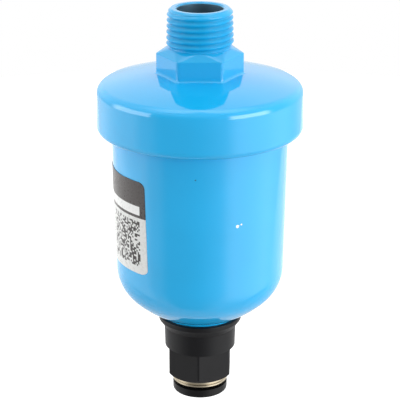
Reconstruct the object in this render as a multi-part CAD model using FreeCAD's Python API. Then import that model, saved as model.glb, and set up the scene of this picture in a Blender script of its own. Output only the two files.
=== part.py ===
import FreeCAD, Part

import math
import os

# Float-type automatic drain valve: an enamelled cap and bowl with a male pipe
# inlet on top, a float that opens a small pilot nozzle, a sprung piston that
# opens the drain, and a black push-in connector underneath.
# Millimetres, +Z up, the origin on the axis at the inlet shoulder, where the
# threaded spigot leaves the hexagon. The front faces -Y.

# How far a cutting shape runs past what it cuts
OVERRUN = 1.0

# The largest share of a wall that a fillet on both its edges may take each
FILLET_SHARE = 0.45

# How near an edge lies to the level that it is looked for at
EDGE_BAND = 1.0

# Inlet spigot and hexagon
SPIGOT_LENGTH = 12.2
SPIGOT_R = 9.75
SPIGOT_RIM_R = 8.95
SPIGOT_RIM_CHAMFER = 1.2
SPIGOT_FOOT_FILLET = 0.4
INLET_BORE_R = 7.25
INLET_BORE_CHAMFER = 0.5
HEX_FLATS = 24.0
HEX_HEIGHT = 8.45
HEX_EDGE_R = 1.6
HEX_TOP_R = 10.0
HEX_TOP_DROP = 2.13
HEX_TOP_EDGE_FILLET = 0.4
HEX_BASE_FILLET = 0.8

# Cap
CAP_RIM_R = 32.5
CAP_SIDE_DRAFT = 0.22
CAP_HEIGHT = 18.35
CAP_CROWN_R = 127.0
CAP_SHOULDER_START_R = 20.0
CAP_SHOULDER_R = 85.0
CAP_KNUCKLE_R = 2.95
CAP_RIM_FILLET = 2.1
CAP_WALL = 3.2
CAP_SKIRT_INNER_CHAMFER = 0.8

# Bowl
BOWL_NECK_R = 27.9
BOWL_DRAFT_DEG = 1.1
BOWL_SIDE_LENGTH = 45.2
BOWL_KNUCKLE_R = 13.8
BOWL_CROWN_R = 32.6
BOWL_WALL = 2.4
BOWL_ENGAGEMENT = 11.0
BOWL_NECK_CLEARANCE = 0.1
BOWL_PAD_R = 13.4
BOWL_PAD_THICKNESS = 3.8
BOWL_BOSS_R = 12.2
BOWL_BOSS_PROUD = 0.55
BOWL_HOLE_R = 8.3

# Sticker on the bowl's side
LABEL_WIDTH = 36.4
LABEL_HEIGHT = 30.6
LABEL_TOP_BELOW_CAP = 10.5
LABEL_CORNER_R = 2.0
LABEL_THICKNESS = 0.15
LABEL_TURN_DEG = -78.8

# O-rings: section radius of each
CAP_RING_SECTION = 0.9
FLOOR_RING_SECTION = 0.8
OUTLET_RING_SECTION = 0.8
LID_RING_SECTION = 0.6
PISTON_RING_SECTION = 0.8
VALVE_GAP = 0.05

# Drain housing, standing on the bowl's floor
HOUSING_FLANGE_R = 12.8
HOUSING_FLANGE_T = 2.2
HOUSING_BARREL_R = 11.2
HOUSING_BARREL_LENGTH = 15.7
HOUSING_BORE_R = 9.0
HOUSING_NECK_R = 8.0
HOUSING_NECK_LENGTH = 9.6
HOUSING_NECK_BORE_R = 5.4
SEAT_HOLE_R = 3.4
SEAT_PLATE_T = 2.2
WINDOW_COUNT = 6
WINDOW_WIDTH = 5.0
WINDOW_HEIGHT = 4.2

# Strainer ring round the windows
STRAINER_T = 0.6
STRAINER_HEIGHT = 7.0
STRAINER_GAP = 0.15
STRAINER_SLOTS = 24
STRAINER_SLOT_WIDTH = 1.1
STRAINER_EDGE = 1.2

# Piston and drain valve
PISTON_TRAVEL = 2.5
PISTON_CLEARANCE = 0.3
PISTON_RING_CLEARANCE = 0.05
PISTON_HEIGHT = 4.0
STEM_R = 1.8
BLEED_R = 0.5
JET_R = 1.2
JET_LENGTH = 2.5
JET_ORIFICE_R = 0.3
DISC_R = 4.6
DISC_SEAL_T = 1.2
DISC_T = 1.4
DISC_NUT_T = 1.0
DISC_NUT_R = 2.9
SPRING_WIRE_R = 0.4
SPRING_COIL_R = 6.0
SPRING_TURNS = 4.0
SPRING_END_GAP = 0.05

# Guide column and float
COLUMN_R = 3.4
COLUMN_BORE_R = 1.5
COLUMN_LENGTH = 34.3
COLUMN_FLANGE_T = 2.2
COLUMN_REGISTER = 1.2
COLUMN_REGISTER_CLEARANCE = 0.1
FLOAT_R = 21.5
FLOAT_HEIGHT = 27.0
FLOAT_EDGE_R = 3.0
FLOAT_BORE_CLEARANCE = 0.4
FLOAT_BORE_WALL = 2.0
FLOAT_RECESS_R = 12.0
FLOAT_RECESS_DEPTH = 6.0
FLOAT_TRAVEL = 4.5
FLOAT_REST_GAP = 0.3

# Pilot nozzle, yoke and lever
NOZZLE_R = 2.4
NOZZLE_HEIGHT = 3.6
NOZZLE_TIP_R = 1.3
NOZZLE_TIP_HEIGHT = 1.0
NOZZLE_SPIGOT = 4.0
NOZZLE_ORIFICE_R = 0.6
YOKE_R = 5.6
YOKE_HEIGHT = 4.2
YOKE_CLEARANCE = 0.05
YOKE_EAR_T = 1.4
YOKE_EAR_R = 2.2
HINGE_REACH = 8.0
HINGE_PIN_R = 1.0
HINGE_CLEARANCE = 0.06
LEVER_T = 1.6
LEVER_WIDTH = 4.4
LEVER_SIDE_GAP = 0.2
LEVER_EYE_R = 2.0
LEVER_REACH = 21.0
LEVER_FOOT_T = 2.0
LEVER_FOOT_ROUND = 0.9
PAD_R = 2.0
PAD_T = 1.2
PAD_RECESS = 0.5
PAD_GAP = 0.05

# Outlet body
COLLAR_R = 13.5
COLLAR_EDGE_FILLET = 0.4
COLLAR_RIM_HEIGHT = 1.5
COLLAR_CONE_HEIGHT = 2.5
COLLAR_FOOT_FILLET = 0.6
BARREL_R = 11.7
BARREL_DRAFT = 0.2
BARREL_LENGTH = 7.0
LOWER_FLATS = 19.8
LOWER_EDGE_R = 0.8
LOWER_HEX_HEIGHT = 10.5
LOWER_ROUND = 2.7
OUTLET_TURN_DEG = -2.5
SOCKET_DEPTH = 6.0
SOCKET_CLEARANCE = 0.05
THROAT_R = 5.2
THROAT_LENGTH = 1.8
TUBE_R = 6.0
TUBE_CLEARANCE = 0.15
TUBE_SHOULDER = 3.5
CARTRIDGE_R = 8.2

# Push-in connector
SEAL_LENGTH = 3.2
SEAL_LIP = 0.7
GUIDE_FLANGE_R = 9.05
GUIDE_FLANGE_T = 2.0
GUIDE_DEPTH = 3.9
GUIDE_BORE_R = 7.6
GUIDE_LIP_R = 7.05
GUIDE_LIP_T = 1.5
GUIDE_GROOVE = 0.25
GUIDE_FIT = 0.05
SLEEVE_TRAVEL = 0.9
SLEEVE_GAP = 1.0
SLEEVE_R = 6.9
SLEEVE_FLANGE_R = 8.95
SLEEVE_FLANGE_T = 2.9
SLEEVE_ROUND = 0.9
SLEEVE_NOSE = 4.5
COLLET_FINGERS = 8
COLLET_SLOT = 0.8
COLLET_SKIRT_T = 0.5
COLLET_HEAD_R = 7.95
COLLET_HEAD_T = 1.6
COLLET_LENGTH = 6.3
COLLET_COLLAR = 2.1
COLLET_STOP_GAP = 0.3

# Levels, worked out down the axis from the inlet shoulder
SPIGOT_TOP = SPIGOT_LENGTH
HEX_BASE = -HEX_HEIGHT
CAP_RIM = HEX_BASE - CAP_HEIGHT
BOWL_TOP = CAP_RIM + BOWL_ENGAGEMENT
CAP_LEDGE = BOWL_TOP + BOWL_NECK_CLEARANCE
BOWL_KNUCKLE_Z = CAP_RIM - BOWL_SIDE_LENGTH
BOWL_SIDE_R = BOWL_NECK_R - BOWL_SIDE_LENGTH * math.tan(math.radians(BOWL_DRAFT_DEG))
BOWL_KNUCKLE_CENTRE_R = BOWL_SIDE_R - BOWL_KNUCKLE_R
BOWL_CROWN_Z = BOWL_KNUCKLE_Z + math.sqrt(
    (BOWL_CROWN_R - BOWL_KNUCKLE_R) ** 2 - BOWL_KNUCKLE_CENTRE_R ** 2
)
BOWL_BOSS_FACE = BOWL_CROWN_Z - math.sqrt(BOWL_CROWN_R ** 2 - BOWL_BOSS_R ** 2) - BOWL_BOSS_PROUD
BOWL_FLOOR = BOWL_BOSS_FACE + BOWL_PAD_THICKNESS
CAP_CROWN_Z = HEX_BASE - math.sqrt(CAP_CROWN_R ** 2 - (HEX_FLATS / math.sqrt(3)) ** 2)

HOUSING_FLANGE_TOP = BOWL_FLOOR + HOUSING_FLANGE_T
HOUSING_TOP = HOUSING_FLANGE_TOP + HOUSING_BARREL_LENGTH
HOUSING_NECK_END = BOWL_FLOOR - HOUSING_NECK_LENGTH
SEAT_FACE = HOUSING_FLANGE_TOP - SEAT_PLATE_T
COLUMN_FLANGE_TOP = HOUSING_TOP + COLUMN_FLANGE_T
COLUMN_TOP = COLUMN_FLANGE_TOP + COLUMN_LENGTH
PISTON_TOP = HOUSING_TOP - COLUMN_REGISTER - PISTON_CLEARANCE
PISTON_BASE = PISTON_TOP - PISTON_HEIGHT
DISC_SEAL_TOP = SEAT_FACE - VALVE_GAP
STEM_END = DISC_SEAL_TOP - DISC_SEAL_T - DISC_T
FLOAT_BASE = COLUMN_FLANGE_TOP + FLOAT_REST_GAP
FLOAT_TOP = FLOAT_BASE + FLOAT_HEIGHT
NOZZLE_TOP = COLUMN_TOP + NOZZLE_HEIGHT
YOKE_BASE = FLOAT_TOP + FLOAT_TRAVEL + FLOAT_REST_GAP
PAD_BASE = NOZZLE_TOP + PAD_GAP
LEVER_BASE = PAD_BASE + PAD_T - PAD_RECESS
HINGE_Z = LEVER_BASE + LEVER_T / 2

COLLAR_TOP = BOWL_BOSS_FACE
COLLAR_CONE_TOP = COLLAR_TOP - COLLAR_RIM_HEIGHT
BARREL_TOP = COLLAR_CONE_TOP - COLLAR_CONE_HEIGHT
LEDGE = BARREL_TOP - BARREL_LENGTH
BODY_END = LEDGE - LOWER_HEX_HEIGHT
SOCKET_END = COLLAR_TOP - SOCKET_DEPTH
TUBE_STOP = SOCKET_END - THROAT_LENGTH
SEAL_TOP = TUBE_STOP - TUBE_SHOULDER
GUIDE_TOP = BODY_END + GUIDE_DEPTH
GUIDE_END = BODY_END - GUIDE_FLANGE_T
SLEEVE_FLANGE_TOP = GUIDE_END - SLEEVE_GAP
SLEEVE_END = SLEEVE_FLANGE_TOP - SLEEVE_FLANGE_T
LIP_TOP = GUIDE_END + GUIDE_LIP_T
COLLET_BASE = LIP_TOP + COLLET_STOP_GAP
COLLET_TOP = COLLET_BASE + COLLET_LENGTH
TUBE_BORE_R = TUBE_R + TUBE_CLEARANCE

AXIS_POINT = FreeCAD.Vector(0, 0, 0)
AXIS = FreeCAD.Vector(0, 0, 1)
ACROSS = FreeCAD.Vector(0, 1, 0)


def point(r, z):
    """A point of a half section, in the XZ plane."""
    return FreeCAD.Vector(r, 0, z)


def line(a, b):
    return Part.LineSegment(point(*a), point(*b)).toShape()


def arc(a, middle, b):
    return Part.Arc(point(*a), point(*middle), point(*b)).toShape()


def on_circle(centre, radius, degrees):
    """A point of a circle in the half section, 0 degrees outwards and 90 up."""
    angle = math.radians(degrees)
    return (centre[0] + radius * math.cos(angle), centre[1] + radius * math.sin(angle))


def circle_arc(centre, radius, start, end):
    """An arc of a circle in the half section, between two angles in degrees."""
    middle = (start + end) / 2
    ends = [on_circle(centre, radius, a) for a in (start, middle, end)]
    return arc(*ends)


def turned(edges):
    """A solid turned round the axis from the edges of a closed half section."""
    face = Part.Face(Part.Wire(edges))
    return face.revolve(AXIS_POINT, AXIS, 360)


def turned_polygon(corners):
    """A solid turned round the axis from the corners of a half section."""
    points = [point(*corner) for corner in corners]
    points.append(points[0])
    face = Part.Face(Part.makePolygon(points))
    return face.revolve(AXIS_POINT, AXIS, 360)


def cylinder(radius, low, high, x=0.0, y=0.0):
    return Part.makeCylinder(radius, high - low, FreeCAD.Vector(x, y, low), AXIS)


def tube(outer, inner, low, high):
    return cylinder(outer, low, high).cut(cylinder(inner, low, high))


def box(low, high):
    """A box between two corners."""
    size = [b - a for a, b in zip(low, high)]
    return Part.makeBox(size[0], size[1], size[2], FreeCAD.Vector(*low))


def octagon(radius):
    """The corners of an eight-sided section round a centre, flats upright and level."""
    corner_r = radius / math.cos(math.pi / 8)
    angles = [math.pi / 8 + math.pi / 4 * i for i in range(8)]
    return [(corner_r * math.cos(a), corner_r * math.sin(a)) for a in angles]


def o_ring(mean_r, section_r, z):
    """An O-ring as it sits in its groove, flattened where it is pressed."""
    return turned_polygon([(mean_r + x, z + y) for x, y in octagon(section_r)])


def turned_by(shape, degrees):
    """A copy of a shape turned round the axis."""
    copy = shape.copy()
    copy.rotate(AXIS_POINT, AXIS, degrees)
    return copy


def around(shape, count):
    """Copies of a shape, evenly spaced round the axis."""
    return [turned_by(shape, 360.0 * i / count) for i in range(count)]


def hexagon(flats, low, high, edge_r, first_corner_deg):
    """A hexagonal prism with rounded upright edges."""
    corner_r = flats / math.sqrt(3)
    corners = []
    for i in range(7):
        angle = math.radians(first_corner_deg + 60 * i)
        corners.append(FreeCAD.Vector(corner_r * math.cos(angle), corner_r * math.sin(angle), low))
    prism = Part.Face(Part.makePolygon(corners)).extrude(FreeCAD.Vector(0, 0, high - low))
    upright = [e for e in prism.Edges if abs(e.Vertexes[0].Z - e.Vertexes[1].Z) > (high - low) / 2]
    return prism.makeFillet(edge_r, upright)


def hexagon_to_round(flats, edge_r, low, top_r, top):
    """The sloped faces from a hexagon with rounded edges up to a circle."""
    rounding_r = flats / math.sqrt(3) - 2 * edge_r / math.sqrt(3)
    lower, upper = [], []
    for i in range(6):
        angle = math.radians(60 * i)
        centre = FreeCAD.Vector(rounding_r * math.cos(angle), rounding_r * math.sin(angle), low)
        start, end = angle - math.pi / 6, angle + math.pi / 6
        lower.append(Part.Circle(centre, AXIS, edge_r).toShape(start, end))
        upper.append(Part.Circle(FreeCAD.Vector(0, 0, top), AXIS, top_r).toShape(start, end))
    faces = []
    straight = []
    for i in range(6):
        left = lower[i].valueAt(lower[i].LastParameter)
        right = lower[(i + 1) % 6].valueAt(lower[(i + 1) % 6].FirstParameter)
        tip = upper[i].valueAt(upper[i].LastParameter)
        faces.append(Part.makeRuledSurface(lower[i], upper[i]))
        faces.append(Part.Face(Part.makePolygon([left, right, tip, left])))
        straight.append(Part.makeLine(left, right))
    faces.append(Part.Face(Part.Wire(Part.__sortEdges__(upper))))
    faces.append(Part.Face(Part.Wire(Part.__sortEdges__(lower + straight))))
    shell = Part.Shell(faces)
    shell.sewShape()
    return Part.Solid(shell)


def edges_round(shape, level, radius):
    """The edges that run round the axis close to a level and to a radius."""
    found = []
    for edge in shape.Edges:
        size = edge.BoundBox
        middle = edge.valueAt((edge.FirstParameter + edge.LastParameter) / 2)
        off_level = max(abs(size.ZMin - level), abs(size.ZMax - level))
        off_radius = abs(math.hypot(middle.x, middle.y) - radius)
        if off_level < EDGE_BAND and off_radius < 2 * EDGE_BAND:
            found.append(edge)
    return found


def dish(side_r, knuckle, crown, side):
    """The edges and end points of a knuckle and a crown in the half section.

    knuckle and crown are (centre, radius); side is 1 for a top and -1 for a
    bottom. The outline runs from the wall over the knuckle to the axis.
    """
    lean = math.degrees(math.atan2(abs(knuckle[0][1] - crown[0][1]), knuckle[0][0]))
    wall_point = (side_r, knuckle[0][1])
    apex = (0.0, crown[0][1] + side * crown[1])
    edges = [
        circle_arc(knuckle[0], knuckle[1], 0, side * lean),
        circle_arc(crown[0], crown[1], side * lean, side * 90),
    ]
    return edges, wall_point, apex


def cap():
    """The cast cap: pipe spigot, hexagon, shallow crown and skirt in one piece."""
    side_r = CAP_RIM_R - CAP_SIDE_DRAFT
    knuckle_r = side_r - CAP_KNUCKLE_R
    crown_lean = math.acos(CAP_SHOULDER_START_R / CAP_CROWN_R)
    centre_shift = CAP_CROWN_R - CAP_SHOULDER_R
    shoulder_r = centre_shift * math.cos(crown_lean)
    shoulder_z = CAP_CROWN_Z + centre_shift * math.sin(crown_lean)
    reach = knuckle_r - shoulder_r
    rise = math.sqrt((CAP_SHOULDER_R - CAP_KNUCKLE_R) ** 2 - reach ** 2)
    knuckle_z = shoulder_z + rise
    knuckle_lean = math.degrees(math.atan2(rise, reach))
    wall_point = (side_r, knuckle_z)
    apex = (0.0, CAP_CROWN_Z + CAP_CROWN_R)
    edges = [
        circle_arc((knuckle_r, knuckle_z), CAP_KNUCKLE_R, 0, knuckle_lean),
        circle_arc((shoulder_r, shoulder_z), CAP_SHOULDER_R, knuckle_lean, math.degrees(crown_lean)),
        circle_arc((0.0, CAP_CROWN_Z), CAP_CROWN_R, math.degrees(crown_lean), 90),
    ]
    rim_centre = (CAP_RIM_R - CAP_RIM_FILLET, CAP_RIM + CAP_RIM_FILLET)
    fillet = circle_arc(rim_centre, CAP_RIM_FILLET, -90, 0)
    shell = turned(edges + [
        line(apex, (0.0, CAP_RIM)),
        line((0.0, CAP_RIM), (rim_centre[0], CAP_RIM)),
        fillet,
        line((CAP_RIM_R, rim_centre[1]), wall_point),
    ])

    hexagon_base = HEX_BASE - CAP_WALL / 2
    nut = hexagon(HEX_FLATS, hexagon_base, -HEX_TOP_DROP, HEX_EDGE_R, 0)
    nut = nut.fuse(hexagon_to_round(HEX_FLATS, HEX_EDGE_R, -HEX_TOP_DROP, HEX_TOP_R, 0.0)).removeSplitter()
    corner_r = HEX_FLATS / math.sqrt(3)
    nut = nut.makeFillet(HEX_TOP_EDGE_FILLET, edges_round(nut, -HEX_TOP_DROP, corner_r))

    foot = SPIGOT_FOOT_FILLET
    spigot_base = -HEX_HEIGHT / 2
    spigot = turned([
        line((0.0, spigot_base), (SPIGOT_R + foot, spigot_base)),
        line((SPIGOT_R + foot, spigot_base), (SPIGOT_R + foot, 0.0)),
        circle_arc((SPIGOT_R + foot, foot), foot, -90, -180),
        line((SPIGOT_R, foot), (SPIGOT_R, SPIGOT_TOP - SPIGOT_RIM_CHAMFER)),
        line((SPIGOT_R, SPIGOT_TOP - SPIGOT_RIM_CHAMFER), (SPIGOT_RIM_R, SPIGOT_TOP)),
        line((SPIGOT_RIM_R, SPIGOT_TOP), (0.0, SPIGOT_TOP)),
        line((0.0, SPIGOT_TOP), (0.0, spigot_base)),
    ])

    inner_side_r = BOWL_NECK_R - BOWL_WALL
    ceiling_r = CAP_CROWN_R - CAP_WALL
    ceiling_edge = CAP_CROWN_Z + math.sqrt(ceiling_r ** 2 - inner_side_r ** 2)
    ceiling_apex = CAP_CROWN_Z + ceiling_r
    lean = math.degrees(math.acos(inner_side_r / ceiling_r))
    skirt_bore_r = BOWL_NECK_R + BOWL_NECK_CLEARANCE
    below = CAP_RIM - OVERRUN
    flared_r = skirt_bore_r + CAP_SKIRT_INNER_CHAMFER + OVERRUN
    hollow = turned([
        line((0.0, below), (flared_r, below)),
        line((flared_r, below), (skirt_bore_r, CAP_RIM + CAP_SKIRT_INNER_CHAMFER)),
        line((skirt_bore_r, CAP_RIM + CAP_SKIRT_INNER_CHAMFER), (skirt_bore_r, CAP_LEDGE)),
        line((skirt_bore_r, CAP_LEDGE), (inner_side_r, CAP_LEDGE)),
        line((inner_side_r, CAP_LEDGE), (inner_side_r, ceiling_edge)),
        circle_arc((0.0, CAP_CROWN_Z), ceiling_r, lean, 90),
        line((0.0, ceiling_apex), (0.0, below)),
    ])
    bore = turned_polygon([
        (0.0, CAP_RIM),
        (INLET_BORE_R, CAP_RIM),
        (INLET_BORE_R, SPIGOT_TOP - INLET_BORE_CHAMFER),
        (INLET_BORE_R + INLET_BORE_CHAMFER, SPIGOT_TOP),
        (0.0, SPIGOT_TOP),
    ])
    groove_r = (skirt_bore_r + inner_side_r) / 2
    groove = tube(groove_r + CAP_RING_SECTION, groove_r - CAP_RING_SECTION,
                  CAP_LEDGE - OVERRUN, BOWL_TOP + 2 * CAP_RING_SECTION)
    casting = shell.fuse([nut, spigot]).removeSplitter()
    casting = casting.makeFillet(HEX_BASE_FILLET, edges_round(casting, HEX_BASE, corner_r))
    return casting.cut([hollow, bore, groove]).removeSplitter()


def cap_seal():
    """The O-ring between the bowl's rim and the cap's ledge."""
    mean_r = BOWL_NECK_R + (BOWL_NECK_CLEARANCE - BOWL_WALL) / 2
    return o_ring(mean_r, CAP_RING_SECTION, BOWL_TOP + CAP_RING_SECTION)


def bowl_outside_r(z):
    """The bowl's outer radius on its drafted side."""
    return BOWL_NECK_R - (CAP_RIM - z) * math.tan(math.radians(BOWL_DRAFT_DEG))


def bowl_form(offset):
    """The bowl's outline turned into a solid, with its wall moved by an offset."""
    knuckle = ((BOWL_KNUCKLE_CENTRE_R, BOWL_KNUCKLE_Z), BOWL_KNUCKLE_R + offset)
    crown = ((0.0, BOWL_CROWN_Z), BOWL_CROWN_R + offset)
    edges, wall_point, apex = dish(BOWL_SIDE_R + offset, knuckle, crown, -1)
    neck_r = BOWL_NECK_R + offset
    return turned(edges + [
        line(apex, (0.0, BOWL_TOP)),
        line((0.0, BOWL_TOP), (neck_r, BOWL_TOP)),
        line((neck_r, BOWL_TOP), (neck_r, CAP_RIM)),
        line((neck_r, CAP_RIM), wall_point),
    ])


def bowl():
    """The cast bowl, with a flat pad and a boss round its drain hole."""
    shell = bowl_form(0.0).cut(bowl_form(-BOWL_WALL))
    pad = cylinder(BOWL_PAD_R, BOWL_BOSS_FACE + BOWL_WALL / 2, BOWL_FLOOR)
    boss = cylinder(BOWL_BOSS_R, BOWL_BOSS_FACE, BOWL_FLOOR)
    lowest = BOWL_CROWN_Z - BOWL_CROWN_R - OVERRUN
    hole = cylinder(BOWL_HOLE_R, lowest, BOWL_FLOOR + OVERRUN)
    below = cylinder(BOWL_NECK_R, lowest, BOWL_BOSS_FACE)
    return shell.fuse([pad, boss]).cut([hole, below]).removeSplitter()


def side_label():
    """The thin sticker that follows the bowl's drafted side."""
    top = CAP_RIM - LABEL_TOP_BELOW_CAP
    base = top - LABEL_HEIGHT
    band = turned_polygon([
        (bowl_outside_r(base), base),
        (bowl_outside_r(base) + LABEL_THICKNESS, base),
        (bowl_outside_r(top) + LABEL_THICKNESS, top),
        (bowl_outside_r(top), top),
    ])
    depth = BOWL_NECK_R + OVERRUN
    plate = box((-LABEL_WIDTH / 2, -depth, base), (LABEL_WIDTH / 2, 0.0, top))
    cross = [e for e in plate.Edges if abs(e.Vertexes[0].Y - e.Vertexes[1].Y) > depth / 2]
    plate = plate.makeFillet(LABEL_CORNER_R, cross)
    return band.common(turned_by(plate, LABEL_TURN_DEG))


def drain_housing():
    """The barrel that holds the piston, with the valve seat and the fixing neck."""
    body = turned_polygon([
        (SEAT_HOLE_R, SEAT_FACE),
        (HOUSING_NECK_BORE_R, SEAT_FACE),
        (HOUSING_NECK_BORE_R, HOUSING_NECK_END),
        (HOUSING_NECK_R, HOUSING_NECK_END),
        (HOUSING_NECK_R, BOWL_FLOOR),
        (HOUSING_FLANGE_R, BOWL_FLOOR),
        (HOUSING_FLANGE_R, HOUSING_FLANGE_TOP),
        (HOUSING_BARREL_R, HOUSING_FLANGE_TOP),
        (HOUSING_BARREL_R, HOUSING_TOP),
        (HOUSING_BORE_R, HOUSING_TOP),
        (HOUSING_BORE_R, HOUSING_FLANGE_TOP),
        (SEAT_HOLE_R, HOUSING_FLANGE_TOP),
    ])
    window = box((0.0, -WINDOW_WIDTH / 2, HOUSING_FLANGE_TOP),
                 (HOUSING_BARREL_R + OVERRUN, WINDOW_WIDTH / 2, HOUSING_FLANGE_TOP + WINDOW_HEIGHT))
    groove_r = floor_seal_r()
    groove = tube(groove_r + FLOOR_RING_SECTION, groove_r - FLOOR_RING_SECTION,
                  BOWL_FLOOR - OVERRUN, BOWL_FLOOR + 2 * FLOOR_RING_SECTION)
    return body.cut(around(window, WINDOW_COUNT)).cut(groove).removeSplitter()


def floor_seal_r():
    return (HOUSING_FLANGE_R + BOWL_HOLE_R) / 2


def floor_seal():
    """The O-ring between the housing's flange and the bowl's floor."""
    return o_ring(floor_seal_r(), FLOOR_RING_SECTION, BOWL_FLOOR + FLOOR_RING_SECTION)


def strainer():
    """The slotted ring round the housing's windows."""
    inner = HOUSING_BARREL_R + STRAINER_GAP
    ring = tube(inner + STRAINER_T, inner, HOUSING_FLANGE_TOP, HOUSING_FLANGE_TOP + STRAINER_HEIGHT)
    slot_base = HOUSING_FLANGE_TOP + STRAINER_EDGE
    slot_top = HOUSING_FLANGE_TOP + STRAINER_HEIGHT - STRAINER_EDGE
    slot = box((0.0, -STRAINER_SLOT_WIDTH / 2, slot_base),
               (inner + STRAINER_T + OVERRUN, STRAINER_SLOT_WIDTH / 2, slot_top))
    return ring.cut(around(slot, STRAINER_SLOTS))


def piston():
    """The piston head and its stem, with a bleed passage down the middle."""
    head_r = HOUSING_BORE_R - PISTON_CLEARANCE
    groove_z = (PISTON_TOP + PISTON_BASE) / 2
    stem = cylinder(STEM_R, STEM_END - DISC_NUT_T, PISTON_BASE)
    body = cylinder(head_r, PISTON_BASE, PISTON_TOP).fuse(stem)
    groove_floor = HOUSING_BORE_R - PISTON_RING_CLEARANCE - 2 * PISTON_RING_SECTION
    groove = tube(head_r + OVERRUN, groove_floor,
                  groove_z - PISTON_RING_SECTION, groove_z + PISTON_RING_SECTION)
    bleed = cylinder(BLEED_R, STEM_END - DISC_NUT_T, PISTON_TOP)
    jet_seat = cylinder(JET_R, PISTON_TOP - JET_LENGTH, PISTON_TOP)
    return body.cut([groove, bleed, jet_seat]).removeSplitter()


def piston_ring():
    mean_r = HOUSING_BORE_R - PISTON_RING_CLEARANCE - PISTON_RING_SECTION
    return o_ring(mean_r, PISTON_RING_SECTION, (PISTON_TOP + PISTON_BASE) / 2)


def bleed_jet():
    """The small brass orifice pressed into the piston's top."""
    return tube(JET_R, JET_ORIFICE_R, PISTON_TOP - JET_LENGTH, PISTON_TOP)


def disc_seal():
    """The rubber washer that closes the seat from below."""
    return tube(DISC_R, STEM_R, DISC_SEAL_TOP - DISC_SEAL_T, DISC_SEAL_TOP)


def valve_disc():
    """The brass disc that backs the rubber washer, with its nut."""
    plate = tube(DISC_R, STEM_R, STEM_END, STEM_END + DISC_T)
    nut = tube(DISC_NUT_R, STEM_R, STEM_END - DISC_NUT_T, STEM_END)
    return plate.fuse(nut).removeSplitter()


def return_spring():
    """The compression spring under the piston, rolled from eight-sided wire."""
    height = PISTON_BASE - HOUSING_FLANGE_TOP - 2 * (SPRING_WIRE_R + SPRING_END_GAP)
    pitch = height / SPRING_TURNS
    helix = Part.makeHelix(pitch, height, SPRING_COIL_R)
    corners = [point(SPRING_COIL_R + x, y) for x, y in octagon(SPRING_WIRE_R)]
    corners.append(corners[0])
    section = Part.makePolygon(corners)
    coil = Part.Wire(helix).makePipeShell([section], True, True)
    coil.translate(FreeCAD.Vector(0, 0, HOUSING_FLANGE_TOP + SPRING_WIRE_R + SPRING_END_GAP))
    return coil


def guide_column():
    """The cover of the piston bore and the hollow column that guides the float."""
    body = turned_polygon([
        (COLUMN_BORE_R, HOUSING_TOP - COLUMN_REGISTER),
        (HOUSING_BORE_R - COLUMN_REGISTER_CLEARANCE, HOUSING_TOP - COLUMN_REGISTER),
        (HOUSING_BORE_R - COLUMN_REGISTER_CLEARANCE, HOUSING_TOP),
        (HOUSING_BARREL_R, HOUSING_TOP),
        (HOUSING_BARREL_R, COLUMN_FLANGE_TOP),
        (COLUMN_R, COLUMN_FLANGE_TOP),
        (COLUMN_R, COLUMN_TOP),
        (COLUMN_BORE_R, COLUMN_TOP),
    ])
    groove_r = column_seal_r()
    groove = tube(groove_r + LID_RING_SECTION, groove_r - LID_RING_SECTION,
                  HOUSING_TOP, HOUSING_TOP + 2 * LID_RING_SECTION)
    return body.cut(groove).removeSplitter()


def column_seal_r():
    return (HOUSING_BARREL_R + HOUSING_BORE_R) / 2


def column_seal():
    """The O-ring between the column's flange and the housing."""
    return o_ring(column_seal_r(), LID_RING_SECTION, HOUSING_TOP + LID_RING_SECTION)


def float_body():
    """The ring-shaped float, with rounded edges and an air bell underneath."""
    bore_r = COLUMN_R + FLOAT_BORE_CLEARANCE
    outer = cylinder(FLOAT_R, FLOAT_BASE, FLOAT_TOP)
    outer = outer.makeFillet(FLOAT_EDGE_R, [e for e in outer.Edges if e.Closed])
    bell = tube(FLOAT_RECESS_R, bore_r + FLOAT_BORE_WALL, FLOAT_BASE, FLOAT_BASE + FLOAT_RECESS_DEPTH)
    bore = cylinder(bore_r, FLOAT_BASE, FLOAT_TOP)
    return outer.cut([bell, bore])


def pilot_nozzle():
    """The brass nozzle screwed into the top of the column."""
    return turned_polygon([
        (NOZZLE_ORIFICE_R, COLUMN_TOP - NOZZLE_SPIGOT),
        (COLUMN_BORE_R, COLUMN_TOP - NOZZLE_SPIGOT),
        (COLUMN_BORE_R, COLUMN_TOP),
        (NOZZLE_R, COLUMN_TOP),
        (NOZZLE_R, NOZZLE_TOP - NOZZLE_TIP_HEIGHT),
        (NOZZLE_TIP_R, NOZZLE_TOP),
        (NOZZLE_ORIFICE_R, NOZZLE_TOP),
    ])


def pilot_yoke():
    """The collar on the column's top that carries the lever's hinge."""
    hub = cylinder(YOKE_R, YOKE_BASE, YOKE_BASE + YOKE_HEIGHT)
    ear_inside = LEVER_WIDTH / 2 + LEVER_SIDE_GAP
    highest = HINGE_Z + YOKE_EAR_R + OVERRUN
    ears = []
    for side in (-1, 1):
        near = side * ear_inside
        far = side * (ear_inside + YOKE_EAR_T)
        arm = box((-HINGE_REACH - YOKE_EAR_R, min(near, far), YOKE_BASE),
                  (0.0, max(near, far), HINGE_Z))
        eye_start = FreeCAD.Vector(-HINGE_REACH, min(near, far), HINGE_Z)
        eye = Part.makeCylinder(YOKE_EAR_R, YOKE_EAR_T, eye_start, ACROSS)
        ears.append(arm.fuse(eye))
    above = cylinder(HINGE_REACH - YOKE_EAR_R, YOKE_BASE + YOKE_HEIGHT, highest)
    pin_hole = hinge_cylinder(HINGE_PIN_R)
    bore = cylinder(COLUMN_R + YOKE_CLEARANCE, YOKE_BASE - OVERRUN, highest)
    return hub.fuse(ears).cut([above, pin_hole, bore]).removeSplitter()


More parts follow.
